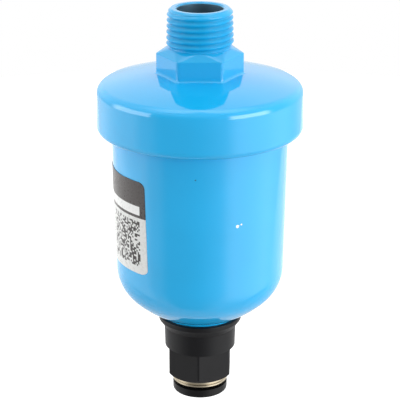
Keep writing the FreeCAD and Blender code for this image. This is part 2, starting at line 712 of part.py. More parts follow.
def hinge_cylinder(radius):
    """A cylinder along the lever's hinge, as long as the yoke is wide."""
    half = LEVER_WIDTH / 2 + LEVER_SIDE_GAP + YOKE_EAR_T
    start = FreeCAD.Vector(-HINGE_REACH, -half, HINGE_Z)
    return Part.makeCylinder(radius, 2 * half, start, ACROSS)


def hinge_pin():
    return hinge_cylinder(HINGE_PIN_R)


def pilot_lever():
    """The lever: an eye on the pin, a bar over the nozzle and a foot on the float."""
    half = LEVER_WIDTH / 2
    tip = LEVER_REACH - HINGE_REACH
    bar = box((-HINGE_REACH, -half, LEVER_BASE), (tip, half, LEVER_BASE + LEVER_T))
    sole = FLOAT_TOP + FLOAT_REST_GAP
    foot = box((tip - LEVER_FOOT_T, -half, sole), (tip, half, LEVER_BASE + LEVER_T))
    across = [e for e in foot.Edges if abs(e.Vertexes[0].Y - e.Vertexes[1].Y) > half]
    toe = [e for e in across if abs(e.Vertexes[0].Z - sole) < 0.01]
    foot = foot.makeFillet(min(LEVER_FOOT_ROUND, LEVER_FOOT_T * FILLET_SHARE), toe)
    eye = Part.makeCylinder(LEVER_EYE_R, LEVER_WIDTH, FreeCAD.Vector(-HINGE_REACH, -half, HINGE_Z), ACROSS)
    hole = hinge_cylinder(HINGE_PIN_R + HINGE_CLEARANCE)
    pad_seat = cylinder(PAD_R, LEVER_BASE, LEVER_BASE + PAD_RECESS)
    return bar.fuse([foot, eye]).cut([hole, pad_seat]).removeSplitter()


def lever_pad():
    """The rubber pad in the lever that closes the nozzle."""
    return cylinder(PAD_R, PAD_BASE, PAD_BASE + PAD_T)


def outlet_body():
    """The moulded outlet: flared collar, barrel and a lower hexagon in one piece."""
    barrel_end_r = BARREL_R - BARREL_DRAFT
    barrel = turned_polygon([
        (0.0, LEDGE),
        (barrel_end_r, LEDGE),
        (BARREL_R, BARREL_TOP),
        (COLLAR_R, COLLAR_CONE_TOP),
        (COLLAR_R, COLLAR_TOP),
        (0.0, COLLAR_TOP),
    ])
    barrel = barrel.makeFillet(COLLAR_FOOT_FILLET, edges_round(barrel, BARREL_TOP, BARREL_R))
    collar_edges = edges_round(barrel, COLLAR_TOP, COLLAR_R) + edges_round(barrel, COLLAR_CONE_TOP, COLLAR_R)
    barrel = barrel.makeFillet(COLLAR_EDGE_FILLET, collar_edges)
    lower = hexagon(LOWER_FLATS, BODY_END, LEDGE, LOWER_EDGE_R, OUTLET_TURN_DEG - 90)
    round_centre = (barrel_end_r - LOWER_ROUND, BODY_END + LOWER_ROUND)
    lower = lower.common(turned([
        line((0.0, BODY_END), (round_centre[0], BODY_END)),
        circle_arc(round_centre, LOWER_ROUND, -90, 0),
        line((barrel_end_r, round_centre[1]), (barrel_end_r, LEDGE)),
        line((barrel_end_r, LEDGE), (0.0, LEDGE)),
        line((0.0, LEDGE), (0.0, BODY_END)),
    ]))
    socket = cylinder(HOUSING_NECK_R + SOCKET_CLEARANCE, SOCKET_END, COLLAR_TOP)
    throat = cylinder(THROAT_R, TUBE_STOP, COLLAR_TOP)
    tube_bore = cylinder(TUBE_BORE_R, SEAL_TOP, TUBE_STOP)
    cartridge = cylinder(CARTRIDGE_R, BODY_END, SEAL_TOP)
    groove_r = outlet_seal_r()
    groove = tube(groove_r + OUTLET_RING_SECTION, groove_r - OUTLET_RING_SECTION,
                  COLLAR_TOP - 2 * OUTLET_RING_SECTION, COLLAR_TOP)
    body = barrel.fuse(lower)
    return body.cut([socket, throat, tube_bore, cartridge, groove]).removeSplitter()


def outlet_seal_r():
    return (BOWL_BOSS_R + HOUSING_NECK_R) / 2


def outlet_seal():
    """The O-ring between the outlet's collar and the bowl's boss."""
    return o_ring(outlet_seal_r(), OUTLET_RING_SECTION, COLLAR_TOP - OUTLET_RING_SECTION)


def tube_seal():
    """The lip seal that closes round the tube, at its fitted size."""
    inner = TUBE_BORE_R
    outer = CARTRIDGE_R - GUIDE_FIT
    return turned_polygon([
        (inner, SEAL_TOP - SEAL_LENGTH),
        (inner + SEAL_LIP, SEAL_TOP - SEAL_LENGTH),
        (inner + SEAL_LIP, SEAL_TOP - SEAL_LENGTH / 2),
        (outer - SEAL_LIP, SEAL_TOP - SEAL_LENGTH / 2),
        (outer - SEAL_LIP, SEAL_TOP - SEAL_LENGTH),
        (outer, SEAL_TOP - SEAL_LENGTH),
        (outer, SEAL_TOP),
        (inner, SEAL_TOP),
    ])


def guide_ring():
    """The plated metal ring pressed into the outlet, with a lip that holds the collet."""
    outer = CARTRIDGE_R - GUIDE_FIT
    middle = (BODY_END + GUIDE_END) / 2
    return turned_polygon([
        (GUIDE_BORE_R, GUIDE_TOP),
        (outer, GUIDE_TOP),
        (outer, BODY_END),
        (GUIDE_FLANGE_R, BODY_END),
        (GUIDE_FLANGE_R, middle + GUIDE_GROOVE),
        (GUIDE_FLANGE_R - GUIDE_GROOVE, middle),
        (GUIDE_FLANGE_R, middle - GUIDE_GROOVE),
        (GUIDE_FLANGE_R, GUIDE_END + GUIDE_GROOVE),
        (GUIDE_FLANGE_R - GUIDE_GROOVE, GUIDE_END),
        (GUIDE_LIP_R, GUIDE_END),
        (GUIDE_LIP_R, LIP_TOP),
        (GUIDE_BORE_R, LIP_TOP),
    ])


def collet():
    """The slotted gripping collet that slides with the release sleeve."""
    skirt_r = SLEEVE_R + GUIDE_FIT + COLLET_SKIRT_T
    head_base = COLLET_TOP - COLLET_HEAD_T
    body = turned_polygon([
        (SLEEVE_R + GUIDE_FIT, COLLET_BASE),
        (skirt_r, COLLET_BASE),
        (skirt_r, head_base - COLLET_SKIRT_T),
        (COLLET_HEAD_R, head_base),
        (COLLET_HEAD_R, COLLET_TOP),
        (TUBE_BORE_R + GUIDE_FIT, COLLET_TOP),
        (TUBE_BORE_R + GUIDE_FIT, head_base),
        (SLEEVE_R + GUIDE_FIT, head_base),
    ])
    slot = box((0.0, -COLLET_SLOT / 2, COLLET_BASE + COLLET_COLLAR),
               (COLLET_HEAD_R + OVERRUN, COLLET_SLOT / 2, COLLET_TOP + OVERRUN))
    return body.cut(around(slot, COLLET_FINGERS))


def release_sleeve():
    """The black ring that is pushed in to let go of the tube."""
    nose_top = COLLET_BASE + SLEEVE_NOSE
    round_centre = (SLEEVE_FLANGE_R - SLEEVE_ROUND, SLEEVE_END + SLEEVE_ROUND)
    mouth = TUBE_BORE_R + GUIDE_FIT
    return turned([
        line((mouth, nose_top), (mouth, SLEEVE_END + SLEEVE_ROUND)),
        line((mouth, SLEEVE_END + SLEEVE_ROUND), (mouth + SLEEVE_ROUND, SLEEVE_END)),
        line((mouth + SLEEVE_ROUND, SLEEVE_END), (round_centre[0], SLEEVE_END)),
        circle_arc(round_centre, SLEEVE_ROUND, -90, 0),
        line((SLEEVE_FLANGE_R, round_centre[1]), (SLEEVE_FLANGE_R, SLEEVE_FLANGE_TOP)),
        line((SLEEVE_FLANGE_R, SLEEVE_FLANGE_TOP), (SLEEVE_R, SLEEVE_FLANGE_TOP)),
        line((SLEEVE_R, SLEEVE_FLANGE_TOP), (SLEEVE_R, nose_top)),
        line((SLEEVE_R, nose_top), (mouth, nose_top)),
    ])


PIECES = {
    "cap": cap,
    "cap_o_ring": cap_seal,
    "bowl": bowl,
    "side_label": side_label,
    "drain_housing": drain_housing,
    "housing_o_ring": floor_seal,
    "strainer": strainer,
    "piston": piston,
    "piston_o_ring": piston_ring,
    "bleed_jet": bleed_jet,
    "valve_disc": valve_disc,
    "valve_washer": disc_seal,
    "return_spring": return_spring,
    "guide_column": guide_column,
    "column_o_ring": column_seal,
    "float": float_body,
    "pilot_nozzle": pilot_nozzle,
    "pilot_yoke": pilot_yoke,
    "hinge_pin": hinge_pin,
    "pilot_lever": pilot_lever,
    "lever_pad": lever_pad,
    "outlet_body": outlet_body,
    "outlet_o_ring": outlet_seal,
    "tube_seal": tube_seal,
    "guide_ring": guide_ring,
    "collet": collet,
    "release_sleeve": release_sleeve,
}


def main():
    os.makedirs("parts", exist_ok=True)
    for name, make in PIECES.items():
        shape = make()
        shape.exportStep(f"parts/{name}.step")
        size = shape.BoundBox
        print(f"{name}: {len(shape.Solids)} solid, volume {shape.Volume:.1f},"
              f" z {size.ZMin:.2f} to {size.ZMax:.2f}, valid {shape.isValid()}")


main()
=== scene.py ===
import math

import bmesh
import bpy
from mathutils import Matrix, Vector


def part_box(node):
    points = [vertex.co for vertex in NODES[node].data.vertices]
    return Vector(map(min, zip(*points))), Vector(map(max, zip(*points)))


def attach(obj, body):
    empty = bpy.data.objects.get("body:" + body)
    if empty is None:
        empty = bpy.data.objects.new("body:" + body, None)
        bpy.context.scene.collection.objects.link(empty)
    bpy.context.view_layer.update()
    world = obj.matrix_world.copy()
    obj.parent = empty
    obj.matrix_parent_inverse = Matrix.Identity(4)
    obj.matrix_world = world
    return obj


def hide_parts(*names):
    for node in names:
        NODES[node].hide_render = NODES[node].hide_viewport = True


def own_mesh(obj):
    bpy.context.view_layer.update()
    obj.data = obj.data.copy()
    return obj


# Automatic drain valve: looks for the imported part. Metres, in the part's own frame.
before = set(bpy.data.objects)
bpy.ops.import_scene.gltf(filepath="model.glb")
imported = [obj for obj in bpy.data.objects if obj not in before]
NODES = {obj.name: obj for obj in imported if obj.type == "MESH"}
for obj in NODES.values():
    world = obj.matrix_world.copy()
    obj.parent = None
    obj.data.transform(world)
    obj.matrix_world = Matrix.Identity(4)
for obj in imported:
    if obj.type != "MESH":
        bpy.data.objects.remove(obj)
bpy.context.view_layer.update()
MM = 0.001

# Camera, at the photograph's viewing angle
CAMERA_PLACE = (0.0, -457.8 * MM, 114.6 * MM)
CAMERA_PITCH_DEG = 19.83
CAMERA_FOCAL_PX = 1520.0
IMAGE_SIDE_PX = 400.0
SENSOR_MM = 36.0

# Floor, well below the valve, which hangs by its inlet. Mirrored, its glow starts at
# the near distance from the point under the valve and is full at the far one, so mirrors
# see a painted shade under the valve.
FLOOR_LEVEL = -300 * MM
FLOOR_R = 600 * MM
FLOOR_BEHIND = 500 * MM
FLOOR_GLOW = 0.55
FLOOR_SHADE_NEAR = 280 * MM
FLOOR_SHADE_FAR = 560 * MM

# Share of the tent's white that lights the valve
FILL_LIGHT = 0.55

# Hexagon, and inlet spigot with its R 1/2 thread, the grooves part filled with enamel
HEXAGON_FOOT = -8.2 * MM
SPIGOT_TOP = 12.2 * MM
SPIGOT_R = 9.75 * MM
SPIGOT_RIM_R = 8.95 * MM
SPIGOT_RIM_CHAMFER = 1.2 * MM
INLET_BORE_R = 7.25 * MM
THREAD_PITCH = 1.814 * MM
THREAD_TAPER = 1 / 32
THREAD_TOP_R = 10.16 * MM
THREAD_DEPTH = 0.6 * MM
THREAD_ROUNDING = 0.75
THREAD_START_DEG = 139.0
THREAD_LEAD_IN = 1.6 * MM
THREAD_RUN_OUT = 0.9 * MM
THREAD_FOOT = 0.35 * MM
THREAD_SKIN = 0.02 * MM
THREAD_INSIDE_R = 8.3 * MM
THREAD_INSIDE_BELOW = 0.4 * MM
THREAD_COLUMNS = 256
THREAD_ROWS_PER_PITCH = 18

# Return spring under the piston
SPRING_WIRE_R = 0.4 * MM
SPRING_COIL_R = 6.0 * MM
SPRING_TURNS = 5.0
SPRING_FLAT_TURNS = 0.65
SPRING_STEPS_PER_TURN = 48
SPRING_SIDES = 12

# Sticker layout, from its right edge and by height
BOWL_SIDE_R_MM = 27.4
LABEL_RIGHT_DEG = -37.4
BAND_FOOT = -49.2 * MM
STRIP_TOP = -45.4 * MM
STRIP_FOOT = -48.3 * MM
BLOCK_TOP = -50.4 * MM
BLOCK_FOOT = -65.4 * MM
STRIP_MM = (2.3, 36.5)
BLOCK_MM = (2.4, 17.4)
REST_MM = (20.5, 36.0)
MODULE_MM = 0.6
DARK_SHARE = 0.52
RULE_GAP = 3.0 * MM
RULE_SHARE = 0.08

# Finishes, as sRGB
ENAMEL_BLUE = "#18ABE6"
ENAMEL_THICK_AND_SHADE = "#0E91C3"
BARE_CASTING = "#557486"
POLYAMIDE_BLACK = "#161618"
ACETAL_BLACK = "#111112"
NICKEL_PLATE = "#B9AE98"
STAINLESS = "#B9B9B7"
BRASS = "#C9A455"
NITRILE_BLACK = "#1B1B1B"
ACETAL_WHITE = "#E3E1D8"
POLYAMIDE_GREY = "#62666B"
FOAM_CREAM = "#DCD5C2"
FILM_WHITE = "#E3E4E3"
FILM_PALE = "#D2D3D1"
PRINT_GREY = "#3A3533"
PRINT_DARK = "#2E2A29"
CHIP_WHITE = "#F4F4F0"
DUST_DARK = "#1C4F6C"
FLOOR_WHITE = "#DDDDDD"
WHITE = "#FFFFFF"

# How much of the deeper enamel colour shows: where the coat drifts at random, and as
# painted shade on the hexagon and from the top to the foot of a groove
DRIFT_DEEP = 0.15
HEXAGON_PAINTED_SHADE = 0.35
GROOVE_TOP_PAINTED_SHADE = 0.45
GROOVE_FOOT_PAINTED_SHADE = 0.85

# How the enamel shines, what the hexagon and the ridges lose of that, and the bare bore
ENAMEL_IOR = 1.58
ENAMEL_ROUGHNESS = 0.05
ENAMEL_SHINE = 0.5
HEXAGON_LOSS = 0.12
RIDGE_LOSS = 0.21
BARE_ROUGHNESS = 0.45
BARE_METAL = 0.6


def linear(hex_value):
    """An sRGB colour written as hex, as linear RGBA."""
    channels = [int(hex_value[i:i + 2], 16) / 255 for i in (1, 3, 5)]
    turned = [c / 12.92 if c <= 0.04045 else ((c + 0.055) / 1.055) ** 2.4 for c in channels]
    return (*turned, 1.0)


def shaded(colour, share):
    """A linear colour brought down to a share of its light."""
    return (*(channel * share for channel in colour[:3]), 1.0)


def add(tree, kind, inputs=(), **settings):
    """A shader node with its settings; its inputs are values, sockets or whole nodes."""
    node = tree.nodes.new("ShaderNode" + kind)
    for name, value in settings.items():
        setattr(node, name, value)
    pairs = inputs.items() if isinstance(inputs, dict) else enumerate(inputs)
    for name, value in pairs:
        if isinstance(value, bpy.types.Node):
            value = next(output for output in value.outputs if output.enabled)
        if isinstance(value, bpy.types.NodeSocket):
            tree.links.new(value, node.inputs[name])
        else:
            node.inputs[name].default_value = value
    return node


def empty_material(name):
    """A new material with an empty tree, and the place on the piece that is being shaded."""
    material = bpy.data.materials.new(name)
    material.use_nodes = True
    tree = material.node_tree
    tree.nodes.clear()
    return material, tree, add(tree, "TexCoord").outputs["Object"]


def wear(material, *names):
    """Gives CAD nodes one material."""
    for name in names:
        slots = NODES[name].data.materials
        slots.clear()
        slots.append(material)


def sky_blue_enamel():
    """Stove enamel sprayed on a casting.

    A hard, wet-looking skin that mirrors the room, with the faint ripple of orange
    peel. Its blue is painted deeper on the hexagon and in the thread's grooves, as
    painted shade, and it has a chip and some dust.
    """
    material, tree, place = empty_material("sky_blue_enamel")
    x, y, z = add(tree, "SeparateXYZ", (place,)).outputs
    flat = add(tree, "CombineXYZ", (x, y, 0.0))
    out = add(tree, "VectorMath", (flat,), operation="LENGTH").outputs["Value"]
    # how deep the coat looks drifts over about 20 mm
    drift = add(tree, "TexNoise", {"Vector": place, "Scale": 50.0, "Detail": 2.0})
    thick_and_shade = add(tree, "MapRange", (drift, 0.35, 0.65, 0.0, DRIFT_DEEP))
    # painted shade in the thread's grooves, between its taper's crest and root
    below = add(tree, "Math", (SPIGOT_TOP, z), operation="SUBTRACT")
    crest = add(tree, "Math", (below, THREAD_TAPER, THREAD_TOP_R), operation="MULTIPLY_ADD")
    depth = add(tree, "Math", (crest, out), operation="SUBTRACT")
    groove = add(tree, "MapRange",
                 (depth, 0.1 * MM, 0.85 * THREAD_DEPTH, GROOVE_TOP_PAINTED_SHADE, GROOVE_FOOT_PAINTED_SHADE))
    on_spigot = add(tree, "MapRange", (z, 0.2 * MM, 0.8 * MM, 0.0, 1.0))
    off_rim = add(tree, "MapRange", (below, 1.6 * MM, 2.2 * MM, 0.0, 1.0))
    shaded_grooves = add(tree, "Math", (groove, on_spigot), operation="MULTIPLY")
    shaded_grooves = add(tree, "Math", (shaded_grooves, off_rim), operation="MULTIPLY")
    thick_and_shade = add(tree, "Math", (thick_and_shade, shaded_grooves), operation="MAXIMUM")
    # painted shade from the hexagon up: a deeper blue on the hexagon and thread than on the crown
    fitting = add(tree, "MapRange", (z, HEXAGON_FOOT, HEXAGON_FOOT + 0.3 * MM, 0.0, 1.0))
    hexagon_shade = add(tree, "Math", (fitting, HEXAGON_PAINTED_SHADE), operation="MULTIPLY")
    thick_and_shade = add(tree, "Math", (thick_and_shade, hexagon_shade), operation="MAXIMUM")
    # the deeper colour is painted shade on the hexagon and in the grooves, and the coat's drift elsewhere
    paint = add(tree, "Mix", {0: thick_and_shade, 6: linear(ENAMEL_BLUE), 7: linear(ENAMEL_THICK_AND_SHADE)}, data_type="RGBA")
    # a chip and dust specks, torn at about 0.3 mm: place and reach in millimetres
    torn = add(tree, "TexNoise", {"Vector": place, "Scale": 3500.0, "Detail": 2.0})
    marks = (
        ((11.42, -24.96, -50.07), 0.5, CHIP_WHITE),
        ((12.65, -24.37, -49.64), 0.26, CHIP_WHITE),
        ((-1.35, -27.72, -34.29), 0.24, DUST_DARK),
        ((-19.2, -17.6, -74.6), 0.26, DUST_DARK),
    )
    for spot_mm, reach_mm, colour in marks:
        spot = tuple(value * MM for value in spot_mm)
        away = add(tree, "VectorMath", (place, spot), operation="DISTANCE").outputs["Value"]
        reach = add(tree, "Math", (torn, 1.2 * reach_mm * MM, 0.4 * reach_mm * MM), operation="MULTIPLY_ADD")
        inside = add(tree, "Math", (away, reach), operation="LESS_THAN")
        paint = add(tree, "Mix", {0: inside, 6: paint, 7: linear(colour)}, data_type="RGBA")
    # the inlet's bore is bare metal, up to the rim's inner edge
    bare = add(tree, "MapRange", (out, INLET_BORE_R + 0.02 * MM, INLET_BORE_R + 0.08 * MM, 1.0, 0.0))
    paint = add(tree, "Mix", {0: bare, 6: paint, 7: linear(BARE_CASTING)}, data_type="RGBA")
    gloss = add(tree, "MapRange", (bare, 0.0, 1.0, ENAMEL_ROUGHNESS, BARE_ROUGHNESS))
    metal = add(tree, "Math", (bare, BARE_METAL), operation="MULTIPLY")
    # it shines a little less on the hexagon, and much less on the ridges
    ridged = add(tree, "Math", (on_spigot, off_rim), operation="MULTIPLY")
    shine = add(tree, "Math", (fitting, -HEXAGON_LOSS, ENAMEL_SHINE), operation="MULTIPLY_ADD")
    shine = add(tree, "Math", (ridged, -RIDGE_LOSS, shine), operation="MULTIPLY_ADD")
    # orange peel about 1.6 mm across and a few microns deep
    peel = add(tree, "TexNoise", {"Vector": place, "Scale": 620.0, "Detail": 1.0})
    ripple = add(tree, "Bump", {"Strength": 0.01, "Distance": 0.3 * MM, "Height": peel})
    skin = add(tree, "BsdfPrincipled", {"Base Color": paint, "Metallic": metal, "Roughness": gloss,
                                        "IOR": ENAMEL_IOR, "Specular IOR Level": shine,
                                        "Normal": ripple})
    add(tree, "OutputMaterial", (skin,))
    return material


def moulded(name, colour, roughness, gloss, grain_mm, grain_depth, cloud):
    """A moulded polymer: slightly cloudy, with the grain of the mould's steel in its skin."""
    material, tree, place = empty_material(name)
    # clouds about 8 mm across
    mottle = add(tree, "TexNoise", {"Vector": place, "Scale": 120.0, "Detail": 3.0})
    share = add(tree, "MapRange", (mottle, 0.3, 0.7, 0.0, 1.0))
    base = linear(colour)
    tone = add(tree, "Mix", {0: share, 6: shaded(base, 1.0 - cloud), 7: base}, data_type="RGBA")
    grain = add(tree, "TexNoise", {"Vector": place, "Scale": 1.0 / (grain_mm * MM), "Detail": 2.0})
    dull = add(tree, "MapRange", (grain, 0.3, 0.7, roughness * 0.85, roughness * 1.15))
    skin = add(tree, "Bump", {"Strength": grain_depth, "Distance": 0.02 * MM, "Height": grain})
    surface = add(tree, "BsdfPrincipled", {"Base Color": tone, "Roughness": dull, "IOR": 1.5,
                                           "Specular IOR Level": gloss, "Normal": skin})
    add(tree, "OutputMaterial", (surface,))
    return material


def turned(name, colour, roughness, groove_mm, groove_depth):
    """A metal turned on a lathe: fine rings round the axis that stretch the highlights."""
    material, tree, place = empty_material(name)
    # noise drawn out to about 30 mm across the axis and as fine as a groove along it
    squeeze = (30.0, 30.0, 1.0 / (groove_mm * MM))
    squeezed = add(tree, "VectorMath", (place, squeeze), operation="MULTIPLY")
    cut = add(tree, "TexNoise", {"Vector": squeezed, "Scale": 1.0, "Detail": 2.0})
    share = add(tree, "MapRange", (cut, 0.35, 0.65, 0.0, 1.0))
    base = linear(colour)
    tone = add(tree, "Mix", {0: share, 6: shaded(base, 0.86), 7: base}, data_type="RGBA")
    dull = add(tree, "MapRange", (cut, 0.3, 0.7, roughness * 0.7, roughness * 1.3))
    rings = add(tree, "Bump", {"Strength": groove_depth, "Distance": 0.02 * MM, "Height": cut})
    surface = add(tree, "BsdfPrincipled", {"Base Color": tone, "Metallic": 1.0, "Roughness": dull,
                                           "Normal": rings})
    add(tree, "OutputMaterial", (surface,))
    return material


def between(tree, value, low, high):
    """1 where a value lies between two limits."""
    above = add(tree, "Math", (value, low), operation="GREATER_THAN")
    below = add(tree, "Math", (value, high), operation="LESS_THAN")
    return add(tree, "Math", (above, below), operation="MULTIPLY")


def printed_film():
    """A printed polyester film, laminated: satin, and a little scuffed.

    Its dark band and pale strip are blank. A block of random squares and some ruled
    lines fill its light panel.
    """
    material, tree, place = empty_material("printed_film")
    x, y, z = add(tree, "SeparateXYZ", (place,)).outputs
    front = add(tree, "Math", (y, -1.0), operation="MULTIPLY")
    turn = add(tree, "Math", (x, front), operation="ARCTAN2")
    # millimetres along the bowl from the sticker's right edge
    around = add(tree, "Math", (math.radians(LABEL_RIGHT_DEG), turn), operation="SUBTRACT")
    across = add(tree, "Math", (around, BOWL_SIDE_R_MM), operation="MULTIPLY")
    # scuffs about 1 mm across
    scuff = add(tree, "TexNoise", {"Vector": place, "Scale": 900.0, "Detail": 3.0})
    rubbed = add(tree, "MapRange", (scuff, 0.3, 0.7, 0.0, 0.25))
    film = add(tree, "Mix", {0: rubbed, 6: linear(FILM_WHITE), 7: linear(FILM_PALE)}, data_type="RGBA")
    panel = add(tree, "Mix", {0: rubbed, 6: linear(FILM_PALE), 7: linear(FILM_WHITE)}, data_type="RGBA")
    grey = add(tree, "Mix", {0: rubbed, 6: linear(PRINT_GREY), 7: linear(PRINT_DARK)}, data_type="RGBA")
    in_band = between(tree, z, BAND_FOOT, 0.0)
    print_ = add(tree, "Mix", {0: in_band, 6: panel, 7: grey}, data_type="RGBA")
    in_strip_rows = between(tree, z, STRIP_FOOT, STRIP_TOP)
    in_strip = add(tree, "Math", (in_strip_rows, between(tree, across, *STRIP_MM)), operation="MULTIPLY")
    print_ = add(tree, "Mix", {0: in_strip, 6: print_, 7: film}, data_type="RGBA")
    # squares in no order, about half of them dark
    in_block_rows = between(tree, z, BLOCK_FOOT, BLOCK_TOP)
    column = add(tree, "Math", (across, MODULE_MM), operation="DIVIDE")
    column = add(tree, "Math", (column,), operation="FLOOR")
    row = add(tree, "Math", (z, MODULE_MM * MM), operation="DIVIDE")
    row = add(tree, "Math", (row,), operation="FLOOR")
    scatter = add(tree, "TexWhiteNoise", {"Vector": add(tree, "CombineXYZ", (column, row, 0.0))})
    dark = add(tree, "Math", (scatter.outputs["Value"], DARK_SHARE), operation="LESS_THAN")
    in_block = add(tree, "Math", (in_block_rows, between(tree, across, *BLOCK_MM)), operation="MULTIPLY")
    squares = add(tree, "Math", (in_block, dark), operation="MULTIPLY")
    print_ = add(tree, "Mix", {0: squares, 6: print_, 7: linear(PRINT_DARK)}, data_type="RGBA")
    # ruled lines on the rest of the panel
    steps = add(tree, "Math", (z, RULE_GAP), operation="DIVIDE")
    line = add(tree, "Math", (steps,), operation="FRACT")
    line = add(tree, "Math", (line, RULE_SHARE), operation="LESS_THAN")
    in_rest = add(tree, "Math", (in_block_rows, between(tree, across, *REST_MM)), operation="MULTIPLY")
    rules = add(tree, "Math", (in_rest, line), operation="MULTIPLY")
    print_ = add(tree, "Mix", {0: rules, 6: print_, 7: linear(PRINT_GREY)}, data_type="RGBA")
    dull = add(tree, "MapRange", (scuff, 0.3, 0.7, 0.24, 0.34))
    surface = add(tree, "BsdfPrincipled", {"Base Color": print_, "Roughness": dull, "IOR": 1.5,
                                           "Specular IOR Level": 0.4})
    add(tree, "OutputMaterial", (surface,))
    return material


def finished(mesh, name, material, body):
    """The piece a closed bmesh makes, smooth, in its material and riding a body."""
    bmesh.ops.recalc_face_normals(mesh, faces=mesh.faces)
    data = bpy.data.meshes.new(name)
    mesh.to_mesh(data)
    mesh.free()
    data.shade_smooth()
    data.materials.append(material)
    piece = bpy.data.objects.new(name, data)
    bpy.context.scene.collection.objects.link(piece)
    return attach(piece, body)


def thread_radius(turns, below):
    """The enamelled thread's radius, from the turns round the axis and the depth below the rim."""
    length = SPIGOT_TOP - THREAD_FOOT
    crest = THREAD_TOP_R + THREAD_TAPER * below
    wave = 0.5 + 0.5 * math.cos(2 * math.pi * (below / THREAD_PITCH + turns))
    ridge = crest - THREAD_DEPTH * (1.0 - wave ** THREAD_ROUNDING)
    # the rim's rounded chamfer, a quarter circle let into the first groove
    bare = SPIGOT_R + THREAD_SKIN
    if below < THREAD_LEAD_IN:
        share = below / THREAD_LEAD_IN
        bevel = SPIGOT_RIM_R + THREAD_SKIN + (crest - SPIGOT_RIM_R) * math.sin(share * math.pi / 2)
        ridge = min(ridge, bevel)
        bare = min(bare, SPIGOT_RIM_R + THREAD_SKIN + (SPIGOT_R - SPIGOT_RIM_R) * below / SPIGOT_RIM_CHAMFER)
    keep = min(1.0, max(0.0, (length - below) / THREAD_RUN_OUT))
    return bare + (max(ridge, bare) - bare) * keep


def inlet_thread(enamel):
    """The thread's ridges round the plain spigot: a closed sleeve whose inside is in the metal."""
    length = SPIGOT_TOP - THREAD_FOOT
    rows = round(length / THREAD_PITCH * THREAD_ROWS_PER_PITCH)
    mesh = bmesh.new()
    rings = []
    for i in range(rows + 1):
        below = length * i / rows
        ring = []
        for j in range(THREAD_COLUMNS):
            turns = j / THREAD_COLUMNS
            r = thread_radius(turns + THREAD_START_DEG / 360, below)
            angle = 2 * math.pi * turns
            ring.append(mesh.verts.new((r * math.cos(angle), r * math.sin(angle), SPIGOT_TOP - below)))
        rings.append(ring)
    r = THREAD_INSIDE_R
    for below in (length, THREAD_INSIDE_BELOW):
        ring = []
        for j in range(THREAD_COLUMNS):
            angle = 2 * math.pi * j / THREAD_COLUMNS
            ring.append(mesh.verts.new((r * math.cos(angle), r * math.sin(angle), SPIGOT_TOP - below)))
        rings.append(ring)
    rings.append(rings[0])
    for upper, lower in zip(rings, rings[1:]):
        for j in range(THREAD_COLUMNS):
            k = (j + 1) % THREAD_COLUMNS
            mesh.faces.new((upper[j], lower[j], lower[k], upper[k]))
    finished(mesh, "inlet_thread", enamel, "housing")


def return_spring(steel):
    """The coil under the piston, with a flat turn at each end, which the piston squeezes as it opens; here
    it is built at one length on the housing.
    """
    low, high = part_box("return_spring")
    foot = low[2] + SPRING_WIRE_R
    rise = high[2] - SPRING_WIRE_R - foot
    mesh = bmesh.new()
    rings = []
    for i in range(round(SPRING_TURNS * SPRING_STEPS_PER_TURN) + 1):
        turns = i / SPRING_STEPS_PER_TURN
        share = (turns - SPRING_FLAT_TURNS) / (SPRING_TURNS - 2 * SPRING_FLAT_TURNS)
        height = foot + rise * min(1.0, max(0.0, share))
        angle = 2 * math.pi * turns
        ring = []
        for j in range(SPRING_SIDES):
            side = 2 * math.pi * j / SPRING_SIDES
            r = SPRING_COIL_R + SPRING_WIRE_R * math.cos(side)
            z = height + SPRING_WIRE_R * math.sin(side)
            ring.append(mesh.verts.new((r * math.cos(angle), r * math.sin(angle), z)))
        rings.append(ring)
    for start, end in zip(rings, rings[1:]):
        for j in range(SPRING_SIDES):
            k = (j + 1) % SPRING_SIDES
            mesh.faces.new((start[j], end[j], end[k], start[k]))
    mesh.faces.new(rings[0])
    mesh.faces.new(rings[-1])
    coil = finished(mesh, "coil_spring", steel, "housing")
    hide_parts("return_spring")
    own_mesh(coil)


def panel_share(tree, azimuth, elevation, across, upward):
    """1 inside a soft-edged panel in the room, from its limits and its blurs in degrees."""
    share = None
    for angle, (low, high, low_blur, high_blur) in ((azimuth, across), (elevation, upward)):
        for middle, blur in ((low, low_blur), (high, -high_blur)):
            side = add(tree, "MapRange", (angle, middle - blur / 2, middle + blur / 2),
                       interpolation_type="SMOOTHSTEP")
            share = side if share is None else add(tree, "Math", (share, side), operation="MULTIPLY")
    return share


def ray_shares(tree):
    """1 for rays straight from the camera, and 1 for all rays that show the background.

    Those also come off something glossy or through something clear.
    """
    ray = add(tree, "LightPath").outputs
    mirrored = add(tree, "Math", (ray["Is Glossy Ray"], ray["Is Transmission Ray"]), operation="MAXIMUM")
    seen = add(tree, "Math", (ray["Is Camera Ray"], mirrored), operation="MAXIMUM")
    return ray["Is Camera Ray"], seen


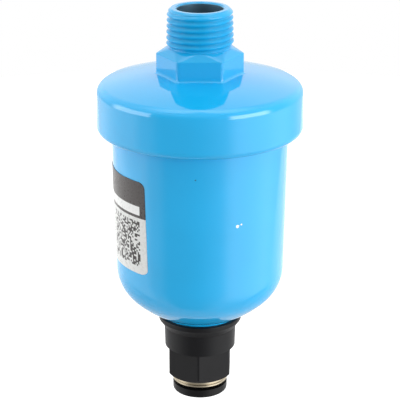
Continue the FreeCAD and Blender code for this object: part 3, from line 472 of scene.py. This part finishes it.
def light_tent():
    """A white light tent with a soft box at each side and an opening for the camera.

    Each panel has its limits and its blurs in degrees, across and upward, and by how
    much it is dimmer or brighter than white.
    """
    world = bpy.data.worlds.new("light_tent")
    bpy.context.scene.world = world
    world.use_nodes = True
    tree = world.node_tree
    tree.nodes.clear()
    way = add(tree, "TexCoord").outputs["Generated"]
    x, y, z = add(tree, "SeparateXYZ", (way,)).outputs
    # azimuth from the front, positive to the right, and elevation, in degrees
    front = add(tree, "Math", (y, -1.0), operation="MULTIPLY")
    turn = add(tree, "Math", (x, front), operation="ARCTAN2")
    azimuth = add(tree, "Math", (turn, math.degrees(1)), operation="MULTIPLY")
    lift = add(tree, "Math", (z,), operation="ARCSINE")
    elevation = add(tree, "Math", (lift, math.degrees(1)), operation="MULTIPLY")
    away = add(tree, "Math", (azimuth,), operation="ABSOLUTE")
    # to the camera the tent is plain white
    straight, seen = ray_shares(tree)
    unseen = add(tree, "Math", (1.0, straight), operation="SUBTRACT")
    # the opening below and round the camera, the cloth above it, and the low far side
    dim = (
        ((azimuth, (-52, 18, 24, 50)), (-120, 22, 10, 32), 0.55),
        ((azimuth, (-60, 60, 24, 24)), (8, 64, 20, 12), 0.15),
        ((away, (100, 200, 50, 10)), (-90, -26, 10, 12), 0.5),
    )
    white = 1.0
    for (angle, across), upward, darkness in dim:
        share = panel_share(tree, angle, elevation, across, upward)
        share = add(tree, "Math", (share, unseen), operation="MULTIPLY")
        white = add(tree, "Math", (share, -darkness, white), operation="MULTIPLY_ADD")
    fill = add(tree, "Math", (white, FILL_LIGHT), operation="MULTIPLY")
    tent = add(tree, "Mix", {0: seen, 2: fill, 3: white})
    # the right and left soft boxes, the light they spill below them, and the cloth at
    # the back, overhead and at the upper sides
    lit = (
        ((azimuth, (33, 80, 8, 14)), (-9, 22, 4, 14), 5.6),
        ((azimuth, (-107, -56, 14, 6)), (-9, 24, 4, 14), 3.6),
        ((azimuth, (36, 110, 24, 40)), (-42, -9, 30, 4), 1.05),
        ((azimuth, (-140, -72, 40, 18)), (-42, -9, 30, 4), 0.65),
        ((away, (115, 200, 40, 10)), (6, 48, 16, 30), 0.4),
        ((away, (30, 200, 60, 10)), (64, 120, 30, 10), 1.75),
        ((away, (40, 120, 30, 30)), (36, 70, 14, 14), 0.4),
    )
    for (angle, across), upward, strength in lit:
        share = panel_share(tree, angle, elevation, across, upward)
        share = add(tree, "Math", (share, unseen), operation="MULTIPLY")
        tent = add(tree, "Math", (share, strength, tent), operation="MULTIPLY_ADD")
    studio = add(tree, "Background", {"Color": linear(WHITE), "Strength": tent})
    add(tree, "OutputWorld", (studio,))


def white_floor():
    """A matt white floor that keeps the valve's soft shadow and reads as white."""
    mesh = bmesh.new()
    bmesh.ops.create_circle(mesh, cap_ends=True, radius=FLOOR_R, segments=96)
    data = bpy.data.meshes.new("floor")
    mesh.to_mesh(data)
    mesh.free()
    floor = bpy.data.objects.new("floor", data)
    floor.location = (0.0, FLOOR_BEHIND, FLOOR_LEVEL)
    bpy.context.scene.collection.objects.link(floor)
    material, tree, place = empty_material("matt_white_board")
    # its glow shows all over to the camera, and in reflections only away from the valve:
    # nearer the valve the mirrored floor stays darker, a painted shade
    under = (0.0, -FLOOR_BEHIND, 0.0)
    reach = add(tree, "VectorMath", (place, under), operation="DISTANCE").outputs["Value"]
    open_share = add(tree, "MapRange", (reach, FLOOR_SHADE_NEAR, FLOOR_SHADE_FAR, 0.0, 1.0))
    straight, seen = ray_shares(tree)
    glowing = add(tree, "Math", (straight, open_share), operation="MAXIMUM")
    glowing = add(tree, "Math", (seen, glowing), operation="MULTIPLY")
    glow = add(tree, "Math", (glowing, FLOOR_GLOW), operation="MULTIPLY")
    # pressed fibres about 1 mm across
    fibres = add(tree, "TexNoise", {"Vector": place, "Scale": 900.0, "Detail": 2.0})
    dull = add(tree, "MapRange", (fibres, 0.3, 0.7, 0.85, 0.95))
    surface = add(tree, "BsdfPrincipled", {"Base Color": linear(FLOOR_WHITE), "Roughness": dull,
                                           "Emission Color": linear(WHITE), "Emission Strength": glow})
    add(tree, "OutputMaterial", (surface,))
    data.materials.append(material)


def photograph_camera():
    """The camera in front of the valve and above its middle, looking down at it."""
    data = bpy.data.cameras.new("camera")
    data.sensor_width = SENSOR_MM
    data.lens = CAMERA_FOCAL_PX / IMAGE_SIDE_PX * SENSOR_MM
    data.clip_start = 0.01
    data.clip_end = 20.0
    camera = bpy.data.objects.new("camera", data)
    camera.location = CAMERA_PLACE
    camera.rotation_euler = (math.radians(90 - CAMERA_PITCH_DEG), 0.0, 0.0)
    bpy.context.scene.collection.objects.link(camera)
    bpy.context.scene.camera = camera


photograph_camera()
light_tent()
white_floor()

enamel = sky_blue_enamel()
wear(enamel, "cap", "bowl")
inlet_thread(enamel)
wear(printed_film(), "side_label")

# Glass-filled polyamide, satin: the fibres in its skin take most of its gloss
wear(moulded("black_polyamide", POLYAMIDE_BLACK,
             roughness=0.42, gloss=0.16, grain_mm=0.25, grain_depth=0.25, cloud=0.25),
     "outlet_body")
# Acetal, smoother and waxier
wear(moulded("black_acetal", ACETAL_BLACK,
             roughness=0.36, gloss=0.16, grain_mm=0.2, grain_depth=0.15, cloud=0.2),
     "release_sleeve")
wear(moulded("white_acetal", ACETAL_WHITE,
             roughness=0.35, gloss=0.5, grain_mm=0.3, grain_depth=0.2, cloud=0.08),
     "piston", "pilot_yoke")
# Plain polyamide, satin, for the pieces inside
wear(moulded("grey_polyamide", POLYAMIDE_GREY,
             roughness=0.42, gloss=0.4, grain_mm=0.25, grain_depth=0.3, cloud=0.12),
     "drain_housing", "guide_column")
# Foamed plastic, matt and pitted
wear(moulded("foamed_float", FOAM_CREAM,
             roughness=0.7, gloss=0.3, grain_mm=0.5, grain_depth=0.8, cloud=0.15),
     "float")
# Nitrile rubber, dull black with a fine bloom
wear(moulded("nitrile_rubber", NITRILE_BLACK,
             roughness=0.55, gloss=0.35, grain_mm=0.3, grain_depth=0.3, cloud=0.2),
     "cap_o_ring", "housing_o_ring", "column_o_ring", "outlet_o_ring", "piston_o_ring",
     "tube_seal", "lever_pad", "valve_washer")
# Nickel over turned brass, warm and bright
wear(turned("nickel_plated_brass", NICKEL_PLATE, roughness=0.22, groove_mm=0.12, groove_depth=0.3),
     "guide_ring")
# Stainless steel and bare brass, greyer and yellower, mostly on pieces inside
steel = turned("stainless_steel", STAINLESS, roughness=0.28, groove_mm=0.15, groove_depth=0.3)
wear(steel, "collet", "hinge_pin", "pilot_lever", "return_spring", "strainer")
return_spring(steel)
wear(turned("turned_brass", BRASS, roughness=0.25, groove_mm=0.12, groove_depth=0.3),
     "bleed_jet", "pilot_nozzle", "valve_disc")

bpy.context.scene.view_settings.view_transform = "Standard"
